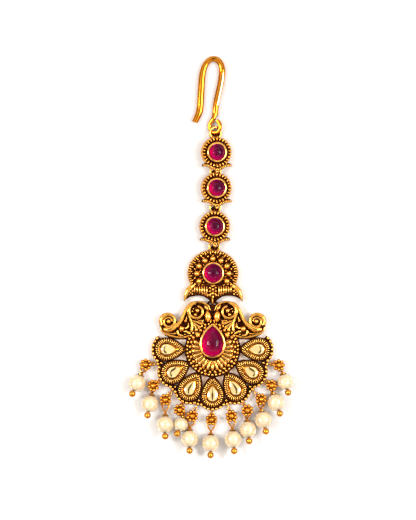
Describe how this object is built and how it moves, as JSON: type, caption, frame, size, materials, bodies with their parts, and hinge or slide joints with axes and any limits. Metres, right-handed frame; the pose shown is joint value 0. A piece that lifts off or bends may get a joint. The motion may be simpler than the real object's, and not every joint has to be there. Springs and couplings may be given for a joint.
{
  "type": "maang tikka",
  "caption": "Antique gold forehead jewel: hair hook, ruby-set links, pierced petal pendant with a pear ruby, and pearl drops on flowers of granules.",
  "frame": {"origin": "centre of the pendant's fluted disc, on the flat back of the pendant, which lies on the surface", "axes": "+Y along the jewel towards the hair hook, +Z out of its face, +X to the right as the face is seen"},
  "size_m": [0.041, 0.1006, 0.0043],
  "materials": {
    "antique_gold": "matt antique gold with dark oxidised recesses",
    "polished_gold": "bright polished gold",
    "ruby": "polished cabochon",
    "pearl": "cream nacre"
  },
  "bodies": {
    "root": {"hair_hook": "polished_gold", "small_link_1": "antique_gold", "small_link_2": "antique_gold", "small_link_3": "antique_gold", "large_link": "antique_gold", "pendant": "antique_gold", "ruby_1": "ruby", "ruby_2": "ruby", "ruby_3": "ruby", "ruby_large": "ruby", "ruby_pear": "ruby", "drop_cluster_01": "polished_gold", "drop_cluster_02": "polished_gold", "drop_cluster_03": "polished_gold", "drop_cluster_04": "polished_gold", "drop_cluster_05": "polished_gold", "drop_cluster_06": "polished_gold", "drop_cluster_07": "polished_gold", "drop_cluster_08": "polished_gold", "drop_cluster_09": "polished_gold", "drop_cluster_10": "polished_gold", "drop_cluster_11": "polished_gold", "drop_pin_01": "polished_gold", "drop_pin_02": "polished_gold", "drop_pin_03": "polished_gold", "drop_pin_04": "polished_gold", "drop_pin_05": "polished_gold", "drop_pin_06": "polished_gold", "drop_pin_07": "polished_gold", "drop_pin_08": "polished_gold", "drop_pin_09": "polished_gold", "drop_pin_10": "polished_gold", "drop_pin_11": "polished_gold", "pearl_01": "pearl", "pearl_02": "pearl", "pearl_03": "pearl", "pearl_04": "pearl", "pearl_05": "pearl", "pearl_06": "pearl", "pearl_07": "pearl", "pearl_08": "pearl", "pearl_09": "pearl", "pearl_10": "pearl", "pearl_11": "pearl"}
  },
  "joints": []
}
